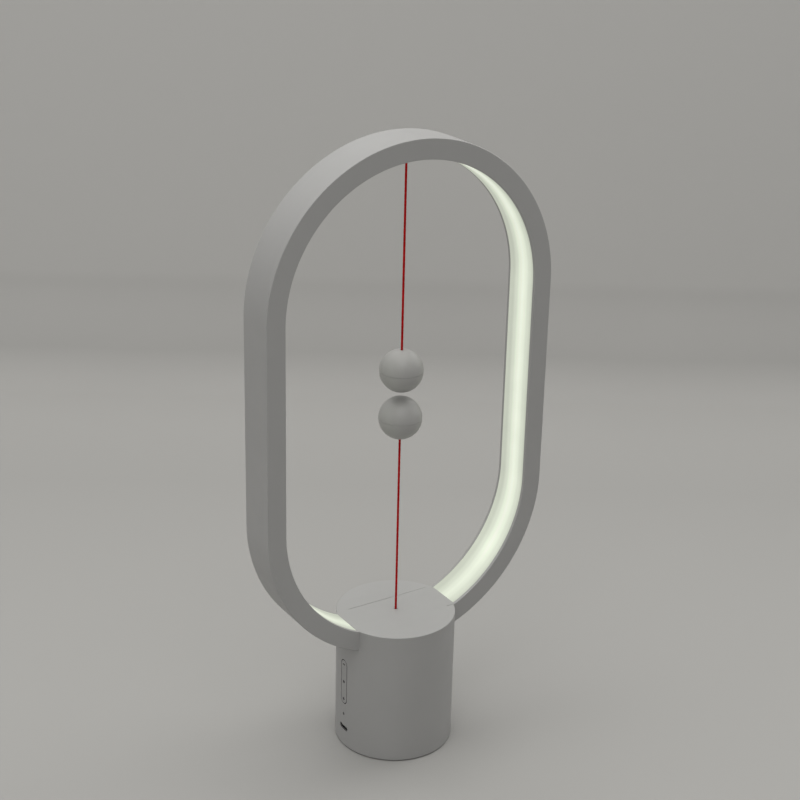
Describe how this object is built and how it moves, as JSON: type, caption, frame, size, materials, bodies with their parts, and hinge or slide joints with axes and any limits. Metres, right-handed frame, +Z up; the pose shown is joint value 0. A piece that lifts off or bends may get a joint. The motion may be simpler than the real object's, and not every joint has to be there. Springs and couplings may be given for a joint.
{
  "type": "magnetic balance lamp",
  "caption": "Oval ring lamp on a round base; two magnetic balls on strings hang inside it, and lifting the lower one pulls the switch.",
  "frame": {"origin": "on the surface that the lamp stands on, under the middle of the base", "axes": "+Z up, +X along the ring's width away from the keys and the port, -Y towards the front"},
  "size_m": [0.2, 0.0768, 0.4019],
  "materials": {
    "shell": "fine matt texture, warm grey",
    "diffuser": "milky and translucent, lit from inside",
    "key": "fine matt texture",
    "ball": "smooth satin grey",
    "string": "braided dark red cord",
    "magnet": "bright nickel plate",
    "guide": "natural white, slippery",
    "frame": "black, moulded",
    "board": "green solder resist",
    "switch": "black, moulded",
    "socket": "white, moulded",
    "steel": "zinc plate",
    "port": "drawn steel, satin",
    "tape": "white coated tape",
    "chip": "pale yellow light chips",
    "light_guide": "clear",
    "lead": "black sheath",
    "ballast": "plain, dark",
    "cell": "blue plastic sleeve",
    "foot": "black rubber"
  },
  "bodies": {
    "base": {"ballast_weight": "ballast", "base_cover": "shell", "base_shell": "shell", "battery_cell": "cell", "battery_holder": "frame", "battery_lead": "lead", "board_screws": "steel", "bridge_plate": "shell", "bridge_screws": "steel", "charge_board": "board", "charging_port": "port", "cover_screws": "steel", "diffuser": "diffuser", "foot_pad": "foot", "frame_screws": "steel", "holder_screws": "steel", "indicator_light": "chip", "lead_sockets": "socket", "light_chips_left": "chip", "light_chips_right": "chip", "light_guide": "light_guide", "light_lead": "lead", "light_link": "lead", "light_tape_left": "tape", "light_tape_right": "tape", "main_board": "board", "micro_switch": "switch", "return_spring": "steel", "ring_back_cover": "shell", "ring_shell": "shell", "string_anchor": "frame", "string_bush": "guide", "switch_frame": "frame", "switch_pins": "steel", "tact_switches": "switch"},
    "switch_slider": {"pull_slider": "guide", "lower_string_tail": "string"},
    "upper_swivel": {"upper_bead": "guide"},
    "upper_pendulum": {"upper_string": "string", "upper_ball_top": "ball", "upper_ball_bottom": "ball", "upper_magnet": "magnet"},
    "lower_swivel": {"lower_string_root": "string"},
    "lower_line": {"lower_string": "string"},
    "lower_ball": {"lower_ball_top": "ball", "lower_ball_bottom": "ball", "lower_magnet": "magnet", "lower_ball_knot": "string"},
    "key_plate": {"key_plate": "frame", "key_pin": "steel"},
    "key_strip": {"key_strip": "key"}
  },
  "joints": [
    {"name": "switch_pull", "type": "slide", "parent": "base", "child": "switch_slider", "axis": [0, 0, 1], "range_m": [-0.003, 0], "stiffness_N_per_m": 100, "springref_m": -0.004, "deforming": ["return_spring"]},
    {"name": "upper_swing_side", "type": "hinge", "parent": "base", "child": "upper_swivel", "pos_m": [0, 0, 0.39444], "axis": [0, 1, 0], "range_deg": [-10, 10]},
    {"name": "upper_swing_fore", "type": "hinge", "parent": "upper_swivel", "child": "upper_pendulum", "pos_m": [0, 0, 0.39444], "axis": [1, 0, 0], "range_deg": [-10, 10]},
    {"name": "lower_swing_side", "type": "hinge", "parent": "base", "child": "lower_swivel", "pos_m": [0, 0, 0.0908], "axis": [0, 1, 0], "range_deg": [-10.5, 10.5]},
    {"name": "lower_swing_fore", "type": "hinge", "parent": "lower_swivel", "child": "lower_line", "pos_m": [0, 0, 0.0908], "axis": [1, 0, 0], "range_deg": [-10.5, 10.5]},
    {"name": "ball_drop", "type": "slide", "parent": "lower_line", "child": "lower_ball", "axis": [0, 0, 1], "range_m": [-0.1193, 0], "deforming": ["lower_string"]},
    {"name": "key_press", "type": "slide", "parent": "base", "child": "key_plate", "axis": [1, 0, 0], "range_m": [0, 0.0006], "stiffness_N_per_m": 400},
    {"name": "key_rock", "type": "hinge", "parent": "key_plate", "child": "key_strip", "pos_m": [-0.0326, 0, 0.04775], "axis": [0, 1, 0], "range_deg": [-1.5, 1.5], "stiffness_Nm_per_rad": 0.02}
  ],
  "couplings": [
    {"joint": "lower_swing_side", "follows": "upper_swing_side", "ratio": -1.0384},
    {"joint": "lower_swing_fore", "follows": "upper_swing_fore", "ratio": -1.0384},
    {"joint": "switch_pull", "follows": "ball_drop", "ratio": 0.0251}
  ]
}
